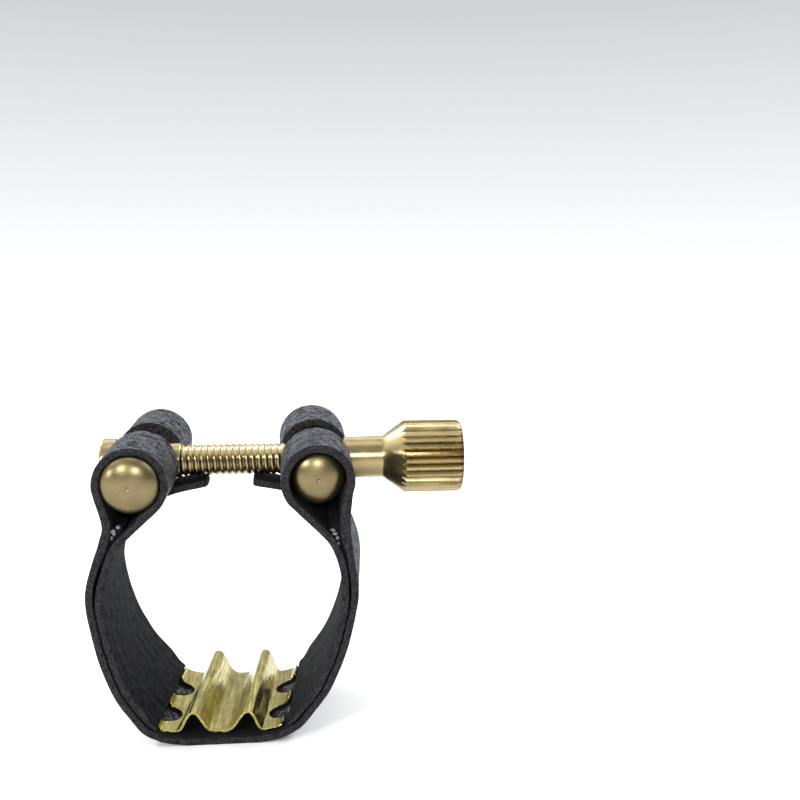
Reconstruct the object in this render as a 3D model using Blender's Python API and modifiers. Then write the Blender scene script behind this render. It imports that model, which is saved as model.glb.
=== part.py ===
"""Single-screw strap ligature for a saxophone mouthpiece.

A black strap lies under a corrugated brass plate, runs up both sides, wraps a brass barrel at each
top corner and comes back down the inside. A thumbscrew crosses both barrels and pulls them together.

Frame: +X along the screw towards its knob, +Y along the mouthpiece, +Z up.
The origin is the centre of the strap's flat underside. The values below are in millimetres.
"""

from math import cos, pi, radians, sin

import bmesh
import bpy
from mathutils import Matrix, Vector

MM = 0.001
GAP = 0.3                    # clearance between pieces that touch
MERGE = 0.00001              # metres

# Strap
BAND_HALF = 10.5             # half of the band's width along Y
LEATHER = 0.9
LAYER_GAP = 0.15             # between the outer and the inner layer
SPLIT_X = 8.9                # where the base ends and the arms flex
RISE = 0.125                 # the loops climb towards the rear, per mm of depth
TWIST = 0.062                # the base is skewed against the loops, per mm of depth
TOE = 0.034                  # the loops close towards the rear, per mm of depth
LEAN = 0.35                  # the loops stand a little to the knob's side of the base
FLARE = {-1: 0.135, 1: 0.08}   # each wall opens towards the rear, per mm of depth
BULGE_X = 16.0               # half width where the walls stand widest
FLEX_TOP = 26.0              # height from which the strap only follows the loops
SLOT_HALF = 2.3
SLOT_KEYHOLE = 3.3           # round mouth of the slot, for the shank and the end stop
SLOT_INNER_X = 9.2           # where the slot begins, under the tongue
SLOT_OUTER_Z = 31.0          # where it ends, on the outer side of the loop
MOUTH_START = 2.0            # the round mouth begins this far outside the barrel's axis

# Barrels
BARREL_X = 10.75             # from the middle of the loops
BARREL_Z = 33.35
BARREL_R = 3.35
LOOP_R = 4.48                # outside of the loop
LOOP_ANGLES = (-22, 230)     # the strap lies on the barrel between these, in degrees
LOOP_STEPS = 28
DOME = 1.6
DOME_STEPS = 6
LEFT_SPAN = (-11.9, 10.3)
RIGHT_SPAN = (-9.6, 10.3)
CROSS_HOLE_R = 2.15
THREAD_BORE_R = 2.12

# Thumbscrew, along X
ROD_R = 2.0
TIP_R = 1.64                 # the end that carries the end stop
TIP_X = -15.75
SHANK_R = 2.66
SHANK_END = 19.8
KNOB_R = 4.66
KNURL_START = 22.6
KNURL_END = 29.3
KNOB_END = 30.05
CHAMFER = 0.8
TEETH = 30
TOOTH = 0.36                 # depth of the knurl's grooves
TOOTH_CUTTER = 0.468         # half diagonal of the square bars that cut them

# End stop on the screw's tip
STOP_R = 2.9
STOP_LENGTH = 1.9
STOP_EDGE = 0.25
STOP_BORE_R = 1.76

# Pressure plate
PLATE_HALF = 9.6
SHEET = 0.3
NOTCH_CENTRES = (-5.0, 3.0)
NOTCH_R = 2.27
NOTCH_X = 7.68               # centre of a notch, just beyond the tabs' tips
NOTCH_CUT = (-1.0, 5.0)      # heights that the notches' cutters span
RIDGE_TAPER = 0.011          # the ridges grow towards the rear, per mm of depth
SEAT = 1.28                  # height of the sheet in the valley
PLATE_SHIFT = -0.19          # the plate sits a little to the left
PLATE_TURN = 0.022           # and turned against the strap, per mm of depth

# Tongues under the screw
TONGUE_HALF = 2.0

CUT_REACH = 2.0              # how far a cutter runs past what it cuts
TURN_STEPS = 40              # sides of a turned piece
EDGE_ANGLE = 35              # degrees; sharper edges aren't shaded smooth

# Outer face of the strap on one side at its front edge, from the flat underside up to the bulge
UNDERSIDE = ((0.0, 0.0), (4.4, 0.0), (6.8, 0.4), (8.1, 0.92), (SPLIT_X, 1.37))
LOWER_WALL = ((SPLIT_X, 1.37), (9.7, 2.0), (10.9, 3.6), (12.85, 6.6))
LEFT_BULGE = ((14.65, 11.4), (15.95, 17.2), (16.15, 20.4))
RIGHT_BULGE = ((14.6, 11.4), (15.65, 16.9), (15.75, 20.0))
LEFT_NECK = ((15.45, 23.4), (14.35, 26.6), (13.9, 28.6))
RIGHT_NECK = ((15.2, 23.4), (14.65, 26.5), (14.6, 28.9))
LEFT_LINING_TOP = ((14.0, 20.4), (13.3, 23.3), (12.5, 25.6), (11.1, 27.2))
RIGHT_LINING_TOP = ((13.65, 20.6), (13.25, 22.8), (12.3, 25.2), (11.1, 26.75))
LINING_FOOT = ((7.85, 3.1), (8.65, 3.77))   # its cut end, beyond the plate's tabs
OUTER_RUN = 0.6              # share of the run between loop and corner that the outer layer takes
LINING_RUN = 0.3             # share of it that the lining takes

# Lower face of a tongue, from its root to its tip
TONGUE = ((9.05, 29.25), (7.2, 29.5), (4.8, 30.05), (2.75, 30.4))

# Half of the plate's section, along the middle of the sheet
RIDGE = ((0.0, SEAT), (0.8, 1.37), (1.6, 1.95), (2.3, 3.15), (2.8, 3.9), (3.25, 4.1), (3.7, 3.92),
         (4.15, 3.15), (4.6, 2.05), (5.05, 1.5), (5.6, 1.44), (6.4, 1.64), (7.0, 1.9), (7.5, 2.24))

BLACK = (0.018, 0.019, 0.021)
BRASS = (0.62, 0.47, 0.21)
GILT = (0.66, 0.53, 0.2)


def material(name, colour, roughness, metallic):
    mat = bpy.data.materials.new(name)
    mat.use_nodes = True
    shader = mat.node_tree.nodes["Principled BSDF"]
    shader.inputs["Base Color"].default_value = (*colour, 1.0)
    shader.inputs["Roughness"].default_value = roughness
    shader.inputs["Metallic"].default_value = metallic
    return mat


def new_collection(name):
    coll = bpy.data.collections.new(name)
    bpy.context.scene.collection.children.link(coll)
    return coll


def clear_scene():
    for obj in list(bpy.data.objects):
        bpy.data.objects.remove(obj, do_unlink=True)


def add_object(name, bm, coll, mat=None):
    mesh = bpy.data.meshes.new(name)
    bm.to_mesh(mesh)
    bm.free()
    obj = bpy.data.objects.new(name, mesh)
    coll.objects.link(obj)
    if mat:
        mesh.materials.append(mat)
    mesh.shade_smooth()
    mesh.set_sharp_from_angle(angle=radians(EDGE_ANGLE))
    return obj


def as_cutter(obj):
    obj.hide_render = True
    obj.display_type = "WIRE"
    return obj


def boolean(obj, operation, other):
    mod = obj.modifiers.new(operation.title(), "BOOLEAN")
    mod.operation = operation
    mod.object = other


def smooth_path(points, steps):
    """Catmull-Rom curve through the points, with this many steps for each span."""
    pts = [Vector(p) for p in points]
    pts = [2 * pts[0] - pts[1]] + pts + [2 * pts[-1] - pts[-2]]
    path = []
    for a, b, c, d in zip(pts, pts[1:], pts[2:], pts[3:]):
        for i in range(steps):
            t = i / steps
            path.append(0.5 * (2 * b + (c - a) * t + (2 * a - 5 * b + 4 * c - d) * t ** 2
                               + (3 * b - a - 3 * c + d) * t ** 3))
    path.append(pts[-2])
    return path


def arc(centre, radius, start, end, steps):
    angles = [radians(start + (end - start) * i / steps) for i in range(steps + 1)]
    return [Vector((centre[0] + radius * cos(a), centre[1] + radius * sin(a))) for a in angles]


def offset_path(path, distance):
    """The path moved sideways, to the left of its direction."""
    moved = []
    for i, point in enumerate(path):
        along = (path[min(i + 1, len(path) - 1)] - path[max(i - 1, 0)]).normalized()
        moved.append(point + distance * Vector((-along.y, along.x)))
    return moved


def warp(x, y, z):
    """Skew, flare and rise of the band over its depth."""
    h = min(max(z / FLEX_TOP, 0.0), 1.0)
    side = 1 if x > 0 else -1
    flare = FLARE[side] * (y + BAND_HALF) * 4 * h * (1 - h) * (x / BULGE_X) ** 2
    shift = side * (flare - TOE * y * h) + TWIST * y * (1 - h) + LEAN * h
    return Vector((x + shift, y, z + RISE * y * h)) * MM


def ribbon(name, path, side, y_range, thickness, offset, coll, mat):
    """A strip of even thickness: an X-Z path drawn along Y, then thickened."""
    bm = bmesh.new()
    verts = [bm.verts.new((side * p.x, y_range[0], p.y)) for p in path]
    edges = [bm.edges.new(pair) for pair in zip(verts, verts[1:])]
    drawn = bmesh.ops.extrude_edge_only(bm, edges=edges)["geom"]
    new = [v for v in drawn if isinstance(v, bmesh.types.BMVert)]
    bmesh.ops.translate(bm, verts=new, vec=(0, y_range[1] - y_range[0], 0))
    for vert in bm.verts:
        vert.co = warp(*vert.co)
    obj = add_object(name, bm, coll, mat)
    shell = obj.modifiers.new("Thickness", "SOLIDIFY")
    shell.thickness = thickness * MM
    shell.offset = offset * side
    shell.use_even_offset = True
    return obj


def block(name, low, high, coll):
    bm = bmesh.new()
    bmesh.ops.create_cube(bm, size=1.0)
    size = [(b - a) * MM for a, b in zip(low, high)]
    centre = [(a + b) / 2 * MM for a, b in zip(low, high)]
    bmesh.ops.scale(bm, vec=size, verts=bm.verts)
    bmesh.ops.translate(bm, vec=centre, verts=bm.verts)
    return add_object(name, bm, coll)


def rod(name, radius, start, end, coll, segments=32):
    """A plain cylinder between two points."""
    a, b = Vector(start) * MM, Vector(end) * MM
    bm = bmesh.new()
    bmesh.ops.create_cone(bm, cap_ends=True, segments=segments, radius1=radius * MM, radius2=radius * MM,
                          depth=(b - a).length)
    turn = (b - a).to_track_quat("Z", "Y").to_matrix().to_4x4()
    bmesh.ops.transform(bm, matrix=Matrix.Translation((a + b) / 2) @ turn, verts=bm.verts)
    return add_object(name, bm, coll)


def turned(name, profile, location, rotation, coll, mat):
    """A turned solid: (radius, height) pairs, top to bottom, around the object's own Z."""
    bm = bmesh.new()
    verts = [bm.verts.new((r * MM, 0, h * MM)) for r, h in profile]
    for pair in zip(verts, verts[1:]):
        bm.edges.new(pair)
    obj = add_object(name, bm, coll, mat)
    obj.location = Vector(location) * MM
    obj.rotation_euler = rotation
    screw = obj.modifiers.new("Turn", "SCREW")
    screw.axis = "Z"
    screw.angle = 2 * pi
    screw.steps = TURN_STEPS
    screw.render_steps = TURN_STEPS
    screw.use_merge_vertices = True
    screw.merge_threshold = MERGE
    screw.use_smooth_shade = True
    return obj


def strap_base(coll, mat):
    half = [Vector(UNDERSIDE[0])] + smooth_path(UNDERSIDE[1:], 3)
    inset = GAP / 2
    half[-1] = half[-1] - (half[-1] - half[-2]).normalized() * inset
    left = [Vector((-p.x, p.y)) for p in reversed(half[1:])]
    return ribbon("strap_base", left + half, 1, (-BAND_HALF, BAND_HALF), LEATHER, -1, coll, mat)


def loop_path(bulge, neck, corner):
    """Outer face of the wall and of the loop, ending in the straight run back to the neck."""
    wall = smooth_path(LOWER_WALL + bulge + neck, 3)
    wall[0] = wall[0] + (wall[1] - wall[0]).normalized() * GAP / 2
    ring = arc((BARREL_X, BARREL_Z), LOOP_R, *LOOP_ANGLES, LOOP_STEPS)
    run = (Vector(corner) - ring[-1]) * OUTER_RUN
    return wall + ring + [ring[-1] + run]


def lining_path(bulge, top):
    """Inner face of the lining, from its cut end on the plate up to its corner below the loop."""
    wall = [Vector(p) for p in LOWER_WALL + bulge]
    inner = offset_path(wall, 2 * LEATHER + LAYER_GAP)[2:-1]
    path = smooth_path(LINING_FOOT + tuple(inner) + top, 3)
    ring = arc((BARREL_X, BARREL_Z), LOOP_R, *LOOP_ANGLES, LOOP_STEPS)
    return path + [path[-1].lerp(ring[-1], LINING_RUN)]


def strap_side(name, side, bulge, neck, lining_top, coll, cutters, mat):
    span = (-BAND_HALF, BAND_HALF)
    loop = loop_path(bulge, neck, lining_top[-1])
    outer = ribbon("strap_" + name + "_outer", loop, side, span, LEATHER, -1, coll, mat)
    for cutter in slot_cutters(name, side, cutters):
        boolean(outer, "DIFFERENCE", as_cutter(cutter))
    lining = lining_path(bulge, lining_top)
    ribbon("strap_" + name + "_inner", lining, side, span, LEATHER, 1, coll, mat)


def slot_cutters(name, side, coll):
    """The screw's slot over the top of a loop: its inner half, its outer half and its round mouth."""
    middle = side * BARREL_X + LEAN
    near_x = side * SLOT_INNER_X + LEAN
    reach = LOOP_R + CUT_REACH
    top = BARREL_Z + reach
    low_x, high_x = sorted((near_x, middle - side * reach))
    low_z = BARREL_Z - reach
    inner = block(name + "_slot_inner", (low_x, -SLOT_HALF, low_z), (high_x, SLOT_HALF, top), coll)
    low_x, high_x = sorted((near_x - side * GAP, middle + side * reach))
    outer = block(name + "_slot_outer", (low_x, -SLOT_HALF, SLOT_OUTER_Z), (high_x, SLOT_HALF, top), coll)
    mouth = rod(name + "_slot_mouth", SLOT_KEYHOLE, (middle + side * MOUTH_START, 0, BARREL_Z),
                (middle + side * reach, 0, BARREL_Z), coll)
    return inner, outer, mouth


def tongue(name, side, coll, mat):
    """The flap cut out of the slot, turned in under the screw."""
    path = smooth_path(TONGUE, 2)
    return ribbon(name, path, side, (-TONGUE_HALF, TONGUE_HALF), LEATHER, 1, coll, mat)


def barrel(name, side, span, bore, coll, cutters, mat):
    """A cross pin with domed ends and a cross hole for the screw."""
    low, high = span
    profile = [(0.0, high)]
    for i in range(DOME_STEPS):
        a = pi / 2 * (1 - (i + 1) / DOME_STEPS)
        profile.append((BARREL_R * cos(a), high - DOME + DOME * sin(a)))
    profile += [(r, low + high - h) for r, h in reversed(profile)]
    x = side * BARREL_X + LEAN
    axis = Vector((-side * TOE, 1, RISE))
    obj = turned(name, profile, (x, 0, BARREL_Z), axis.to_track_quat("Z", "Y").to_euler(), coll, mat)
    reach = BARREL_R + CUT_REACH
    hole = rod(name + "_hole", bore, (x - reach, 0, BARREL_Z), (x + reach, 0, BARREL_Z), cutters)
    boolean(obj, "DIFFERENCE", as_cutter(hole))
    return obj


def thumbscrew(coll, cutters, mat):
    """Rod, shank, cone and knob turned from one bar, along the object's own Z."""
    shoulder = LEAN + BARREL_X + BARREL_R + GAP
    seat = TIP_X + STOP_LENGTH + GAP
    profile = [(0.0, KNOB_END), (KNOB_R - CHAMFER, KNOB_END), (KNOB_R, KNURL_END),
               (KNOB_R, KNURL_START), (SHANK_R, SHANK_END), (SHANK_R, shoulder), (ROD_R, shoulder),
               (ROD_R, seat), (TIP_R, seat), (TIP_R, TIP_X), (0.0, TIP_X)]
    obj = turned("thumbscrew", profile, (0, 0, BARREL_Z), (0, pi / 2, 0), coll, mat)
    boolean(obj, "DIFFERENCE", as_cutter(knurl_cutter(cutters)))
    return obj


def knurl_cutter(coll):
    """A ring of square bars along X, each with one edge turned to the axis, for the knob's grooves."""
    low, high = SHANK_END - CUT_REACH, KNOB_END + CUT_REACH
    half = TOOTH_CUTTER
    bm = bmesh.new()
    for i in range(TEETH):
        bar = bmesh.ops.create_cone(bm, cap_ends=True, segments=4, radius1=half * MM, radius2=half * MM,
                                    depth=(high - low) * MM)["verts"]
        place = Matrix.Translation((0, 0, BARREL_Z * MM)) @ Matrix.Rotation(2 * pi * i / TEETH, 4, "X")
        place = place @ Matrix.Translation(((low + high) / 2 * MM, 0, (KNOB_R - TOOTH + half) * MM))
        bmesh.ops.transform(bm, matrix=place @ Matrix.Rotation(pi / 2, 4, "Y"), verts=bar)
    return add_object("knurl_grooves", bm, coll)


def end_stop(coll, mat):
    """The ring fixed on the screw's tip, which keeps the screw from leaving the threaded barrel."""
    high = TIP_X + STOP_LENGTH
    profile = [(STOP_BORE_R, high), (STOP_R - STOP_EDGE, high), (STOP_R, high - STOP_EDGE),
               (STOP_R, TIP_X + STOP_EDGE), (STOP_R - STOP_EDGE, TIP_X), (STOP_BORE_R, TIP_X),
               (STOP_BORE_R, high)]
    return turned("screw_end_stop", profile, (0, 0, BARREL_Z), (0, pi / 2, 0), coll, mat)


def pressure_plate(coll, cutters, mat):
    half = smooth_path(RIDGE, 2)
    left = [Vector((-p.x, p.y)) for p in reversed(half[1:])]
    span = (-PLATE_HALF, PLATE_HALF)
    obj = ribbon("pressure_plate", left + half, 1, span, SHEET, 0, coll, mat)
    for vert in obj.data.vertices:
        y = vert.co.y / MM
        vert.co.x += (PLATE_SHIFT + PLATE_TURN * y) * MM
        vert.co.z += RIDGE_TAPER * y * max(vert.co.z - SEAT * MM, 0.0)
    low, high = NOTCH_CUT
    for side in (-1, 1):
        for y in NOTCH_CENTRES:
            x = side * NOTCH_X + PLATE_SHIFT + (TWIST + PLATE_TURN) * y
            notch = rod("notch", NOTCH_R, (x, y, low), (x, y, high), cutters)
            boolean(obj, "DIFFERENCE", as_cutter(notch))
    return obj


def build():
    clear_scene()
    coll = new_collection("saxophone_ligature")
    cutters = new_collection("cutters")
    leather = material("black_leather", BLACK, 0.6, 0.0)
    brass = material("brass", BRASS, 0.35, 1.0)
    gilt = material("plate_brass", GILT, 0.25, 1.0)
    strap_base(coll, leather)
    strap_side("left", -1, LEFT_BULGE, LEFT_NECK, LEFT_LINING_TOP, coll, cutters, leather)
    strap_side("right", 1, RIGHT_BULGE, RIGHT_NECK, RIGHT_LINING_TOP, coll, cutters, leather)
    tongue("tongue_left", -1, coll, leather)
    tongue("tongue_right", 1, coll, leather)
    pressure_plate(coll, cutters, gilt)
    barrel("threaded_barrel", -1, LEFT_SPAN, THREAD_BORE_R, coll, cutters, brass)
    barrel("plain_barrel", 1, RIGHT_SPAN, CROSS_HOLE_R, coll, cutters, brass)
    thumbscrew(coll, cutters, brass)
    end_stop(coll, brass)


build()
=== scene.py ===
"""Looks of a single-screw strap ligature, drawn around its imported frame.

The leather strap is drawn as two halves that meet under the plate, each one strip with a punched slot, a
wrapped loop, a tongue and a glued lining. The screw gets its thread and knurl, the plate its scalloped tabs.
Sizes are in millimetres and repeat the solids' outlines; objects are made in metres.

Frame: +X along the screw towards its knob, +Y along the mouthpiece, +Z up.
"""

from math import acos, cos, pi, radians, sin, sqrt

import bmesh
import bpy
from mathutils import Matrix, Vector, noise


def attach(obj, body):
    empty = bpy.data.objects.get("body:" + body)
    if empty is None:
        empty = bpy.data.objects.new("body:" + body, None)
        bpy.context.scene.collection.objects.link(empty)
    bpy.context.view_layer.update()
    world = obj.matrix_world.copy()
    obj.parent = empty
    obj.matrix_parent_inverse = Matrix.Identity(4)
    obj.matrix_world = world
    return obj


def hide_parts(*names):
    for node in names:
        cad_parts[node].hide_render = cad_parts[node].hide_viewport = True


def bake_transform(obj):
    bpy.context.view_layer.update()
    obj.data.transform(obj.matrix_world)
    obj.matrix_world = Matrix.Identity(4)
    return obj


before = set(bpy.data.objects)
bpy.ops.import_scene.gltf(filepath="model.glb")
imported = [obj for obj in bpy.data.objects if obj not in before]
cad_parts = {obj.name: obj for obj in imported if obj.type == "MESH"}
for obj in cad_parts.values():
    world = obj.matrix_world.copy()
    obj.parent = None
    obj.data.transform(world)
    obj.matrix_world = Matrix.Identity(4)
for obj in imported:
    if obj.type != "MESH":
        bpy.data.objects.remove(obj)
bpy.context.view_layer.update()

MM = 0.001
SIDE = {-1: "left", 1: "right"}

# Strap. Heights and distances from the middle are those of the flat outline, before warp()
BAND_HALF = 10.5             # half the depth of the band
LEATHER = 0.9
LAYER_GAP = 0.15             # between the outer layer and the lining
RISE = 0.125                 # rise for each millimetre of depth, at the top
TWIST = 0.062                # shift to the right for each millimetre of depth, at the bottom
TOE = 0.034                  # closing of the top for each millimetre of depth
LEAN = 0.35                  # shift of the whole top to the right
FLARE = {-1: 0.135, 1: 0.08}  # widening at half height, for each millimetre behind the front edge
BULGE_X = 16.0               # where the flare has its full size
FLEX_TOP = 26.0              # the top, for the shifts above: higher parts move as a whole
SLOT_HALF = 2.3
SLOT_KEYHOLE = 3.5           # radius of the slot's round mouth, on the outer side
SLOT_MOUTH_HALF = 1.2        # its half width is never less than this
SLOT_ROUND_TOP = 36.0        # the round mouth begins below this height
SLOT_END_Z = 29.9            # and ends here
SLOT_INNER_X = 9.2           # the slot's other end, on the inner side
TONGUE_HALF = 2.0
TONGUE_CORNER = 0.25         # how far its corners are drawn back
TONGUE_START = 200           # the tongue's first value along the strip, clear of the rest
LOOP_LOW_Z = 28.5            # the lining begins below this height
SKIVE_SHARE = 0.5            # the lining's end thins to this share of its thickness
SKIVE_LENGTH = 3.0
EDGE_ROUNDING = 0.12

# Barrels
BARREL_X = 10.75
BARREL_Z = 33.35
BARREL_R = 3.37
HEAD_R = 3.5                 # the left barrel's front end is a little thicker
HEAD_END = -8.4
WAIST = (-2.45, 3.3)         # between these depths the left barrel is slimmer, where the screw passes
WAIST_R = 2.85
STEP = 0.15                  # slope beside the waist
COLLAR_R = 2.2
COLLAR_START = -8.2
COLLAR_END = -5.85
COLLAR_PLAY = 0.08           # room round the rod
LOOP_R = 4.48
LOOP_ANGLES = (-22, 230)
LOOP_STEPS = 14
DOME = 1.6
DOME_STEPS = 14
LEFT_SPAN = (-11.9, 10.3)
RIGHT_SPAN = (-10.1, 10.3)
HOLE_R = 2.15
HOLE_REACH = 6

# Thumbscrew
ROD_R = 2.0
TIP_R = 1.64
TIP_X = -15.75
SHANK_R = 2.66
SHANK_START = 14.75
SHANK_END = 19.8
SHANK_EDGE = 0.12
KNOB_R = 4.66
KNURL_START = 22.6
KNURL_END = 29.3
KNOB_END = 30.05
CHAMFER = 0.8
TEETH = 30
TOOTH = 0.42                 # depth of the knurl's grooves
GROOVE_SHARE = 0.36          # share of a tooth from its groove's bottom to its full height
TOOTH_SHARES = (0.0, 0.18, 0.36, 0.5, 0.64, 0.82)
PITCH = 0.8
THREAD_DEPTH = 0.21
THREAD_START = -13.55
THREAD_STEPS = 10            # mesh rows for each turn of the thread
ROD_SIDES = 72
STOP_R = 2.9
STOP_LENGTH = 1.9
STOP_EDGE = 0.3
STOP_PLAY = 0.02

# Pressure plate
PLATE_HALF = 9.6
SHEET = 0.3
SHEET_ROUNDING = 0.06
NOTCH_CENTRES = (-5.0, 3.0)
NOTCH_R = 2.27
NOTCH_X = 7.68               # centre of a notch, just beyond the tabs' tips
TAB_TIP = 7.6
TAB_CORNER = 0.6
FLANGE_X = 5.1               # the flat flange begins outside this
PLATE_SHIFT = -0.19
PLATE_TURN = 0.022           # shift for each millimetre of depth
PLATE_TILT = 0.012
RIDGE_TAPER = 0.011          # the ridges grow by this share for each millimetre of depth
SEAT = 1.28                  # height of the sheet's lowest line
FIBRE_X = 7.0                # middle of the rough leather in the notches
FIBRE_HALF_WIDTH = 1.5
FIBRE_HALF_DEPTH = 2.15

# Outlines of the left and the right half, from the middle of the underside to the lining's foot
UNDERSIDE = ((0.0, 0.0), (4.4, 0.0), (6.8, 0.4), (8.1, 0.92))
LOWER_WALL = ((8.9, 1.37), (9.7, 2.0), (10.9, 3.6), (12.85, 6.6))
LEFT_BULGE = ((14.65, 11.4), (15.95, 17.2), (16.15, 20.4))
RIGHT_BULGE = ((14.6, 11.4), (15.65, 16.9), (15.75, 20.0))
LEFT_NECK = ((15.5, 23.4), (14.55, 26.6), (14.15, 28.6))
RIGHT_NECK = ((15.2, 23.4), (14.65, 26.5), (14.6, 28.9))
LEFT_LINING_TOP = ((14.0, 20.4), (13.25, 23.3), (12.35, 25.6), (10.95, 27.1))
RIGHT_LINING_TOP = ((13.65, 20.6), (13.25, 22.8), (12.3, 25.2), (11.1, 26.75))
LINING_FOOT = ((7.75, 2.4), (8.5, 3.25))
TONGUE = ((7.2, 29.5), (4.8, 30.05), (2.75, 30.4))
# Half of the plate's section, from its middle valley over one ridge to a tab's tip
RIDGE = ((0.0, SEAT), (0.8, 1.37), (1.6, 1.95), (2.3, 3.15), (2.8, 3.9), (3.25, 4.1), (3.7, 3.92),
         (4.15, 3.15), (4.6, 2.05), (5.05, 1.5), (5.6, 1.42), (6.4, 1.56), (7.0, 1.72), (7.35, 1.95),
         (7.6, 2.35))

# Dried glue below the loops: the fillet's section, then its beads as x, z, half width and half height
LEFT_SEAM = (((14.1, 22.6), (14.5, 22.6), (13.85, 25.8), (13.5, 28.5), (11.75, 28.05), (12.95, 25.8)),
             ((12.75, 27.75, 0.3, 0.34), (12.2, 28.35, 0.2, 0.26), (13.0, 27.1, 0.16, 0.2)))
RIGHT_SEAM = (((13.9, 22.0), (14.45, 22.0), (14.05, 25.4), (13.7, 28.2), (12.1, 27.35), (12.9, 25.9)),
              ((12.45, 27.4, 0.32, 0.17), (12.7, 26.95, 0.26, 0.22), (12.95, 26.45, 0.22, 0.22),
               (13.1, 25.75, 0.13, 0.15)))

# Fineness of the drawn surfaces
ROW_STEP = 0.3
EAR_COLUMNS = 14
SLOT_COLUMNS = 8
CURVE_STEPS = 6
RIDGE_STEPS = 8
TURN = 96
FIBRE_STEPS = 30
FILLET_ROWS = 24
SMOOTH_ANGLE = 35            # edges sharper than this stay sharp, in degrees
BEVEL_ANGLE = 50
ROUGH_ANGLE = 80
FILLET_ANGLE = 60

# Colours, linear, from the darker to the lighter of each pair
GRAIN = ((0.0035, 0.0037, 0.0048), (0.0165, 0.0175, 0.022))
GRAIN_SHEEN = (0.74, 0.81, 1.0, 1.0)
CUT_EDGE = ((0.0018, 0.0016, 0.002), (0.036, 0.035, 0.038))
FLESH = ((0.0015, 0.0015, 0.002), (0.009, 0.009, 0.0105))
# the lighter colour is a painted glint on the notch leather's glossy flecks
TORN_AND_GLINT = ((0.004, 0.004, 0.006), (0.17, 0.18, 0.24))
BARREL_BRASS = ((0.145, 0.114, 0.057), (0.225, 0.182, 0.094))
SCREW_BRASS = ((0.255, 0.198, 0.094), (0.375, 0.298, 0.153))
# painted reflection: darker brown over the knob's end
PAINTED_DARK_REFLECTION = (0.16, 0.09, 0.03)
# painted shade in the knurl's grooves and on the narrower end beyond them
GROOVE_SHADE = (0.07, 0.045, 0.014)
GILT = ((0.19, 0.162, 0.032), (0.60, 0.51, 0.145))
DRIED = ((0.03, 0.033, 0.036), (0.22, 0.23, 0.24))
# the darker colour is painted shade on the floor towards the camera
FLOOR_AND_SHADE = ((0.5, 0.5, 0.505), (0.88, 0.88, 0.885))
BACKDROP = (0.97, 0.985, 1.0, 1.0)

# Studio: the backdrop's brightness by the sine of a direction's height, then lamps as place, size and watts
WORLD_STRENGTH = 2.6
WORLD_LEVELS = ((0.0, 0.42), (0.26, 0.25), (0.36, 0.3), (0.46, 0.34), (0.57, 1.0), (0.8, 1.0), (0.92, 0.3),
                (1.0, 1.0))
LAMPS = (("key_left", (-0.183, -0.327, 0.188), 0.05, 0.72),
         ("key_right", (0.03, -0.384, 0.164), 0.05, 0.68),
         ("side_left", (-0.335, -0.18, 0.115), 0.05, 0.36),
         ("back_left", (-0.30, 0.26, 0.34), 0.09, 1.0),
         ("back_right", (0.30, 0.26, 0.34), 0.09, 1.0))
LAMP_AIM = (0.0, 0.0, 0.02)
CAMERA_PLACE = (0.01077, -0.13346, 0.05431)
CAMERA_TURN = (84.19, 0.32, -4.92)
FOCAL_LENGTH = 46.81


# ---------------------------------------------------------------- outlines

def smooth_path(points, steps):
    """Catmull-Rom curve through the points, with this many steps for each span."""
    pts = [Vector(p) for p in points]
    pts = [2 * pts[0] - pts[1]] + pts + [2 * pts[-1] - pts[-2]]
    path = []
    for a, b, c, d in zip(pts, pts[1:], pts[2:], pts[3:]):
        for i in range(steps):
            t = i / steps
            path.append(0.5 * (2 * b + (c - a) * t + (2 * a - 5 * b + 4 * c - d) * t ** 2
                               + (3 * b - a - 3 * c + d) * t ** 3))
    path.append(pts[-2])
    return path


def arc(centre, radius, start, end, steps):
    """Points on a circle, between two angles in degrees."""
    angles = [radians(start + (end - start) * i / steps) for i in range(steps + 1)]
    return [Vector((centre[0] + radius * cos(a), centre[1] + radius * sin(a))) for a in angles]


def normals(path):
    """Unit vectors to the left of the path's direction."""
    found = []
    for i in range(len(path)):
        along = (path[min(i + 1, len(path) - 1)] - path[max(i - 1, 0)]).normalized()
        found.append(Vector((-along.y, along.x)))
    return found


def resample(path, step):
    """The same path with even spacing."""
    lengths = [0.0]
    for a, b in zip(path, path[1:]):
        lengths.append(lengths[-1] + (b - a).length)
    count = max(2, round(lengths[-1] / step))
    even, k = [], 0
    for i in range(count + 1):
        target = lengths[-1] * i / count
        while k < len(path) - 2 and lengths[k + 1] < target:
            k += 1
        span = lengths[k + 1] - lengths[k]
        even.append(path[k].lerp(path[k + 1], (target - lengths[k]) / span))
    return even


def warp(x, y, z):
    """Skew, flare and rise of the band over its depth."""
    h = min(max(z / FLEX_TOP, 0.0), 1.0)
    side = 1 if x > 0 else -1
    flare = FLARE[side] * (y + BAND_HALF) * 4 * h * (1 - h) * (x / BULGE_X) ** 2
    shift = side * (flare - TOE * y * h) + TWIST * y * (1 - h) + LEAN * h
    return Vector((x + shift, y, z + RISE * y * h)) * MM


def ease(t):
    """0 to 1 with soft ends, while t goes from 0 to 1."""
    t = min(max(t, 0.0), 1.0)
    return t * t * (3 - 2 * t)


def grainy(x, y, z, scale, seed=0.0):
    """Smooth noise with features of about this size."""
    return noise.noise(Vector((x / scale + seed, y / scale - seed, z / scale)))


# ---------------------------------------------------------------- mesh helpers

def added(name, data):
    """A new object in the scene."""
    obj = bpy.data.objects.new(name, data)
    bpy.context.scene.collection.objects.link(obj)
    return obj


def new_mesh(name, verts, faces):
    mesh = bpy.data.meshes.new(name)
    mesh.from_pydata([tuple(v) for v in verts], [], faces)
    return mesh


def face_outwards(mesh):
    """Turns every face's normal outwards."""
    bm = bmesh.new()
    bm.from_mesh(mesh)
    bmesh.ops.recalc_face_normals(bm, faces=bm.faces)
    bm.to_mesh(mesh)
    bm.free()


def shade(mesh, angle):
    mesh.shade_smooth()
    mesh.set_sharp_from_angle(angle=radians(angle))


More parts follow.
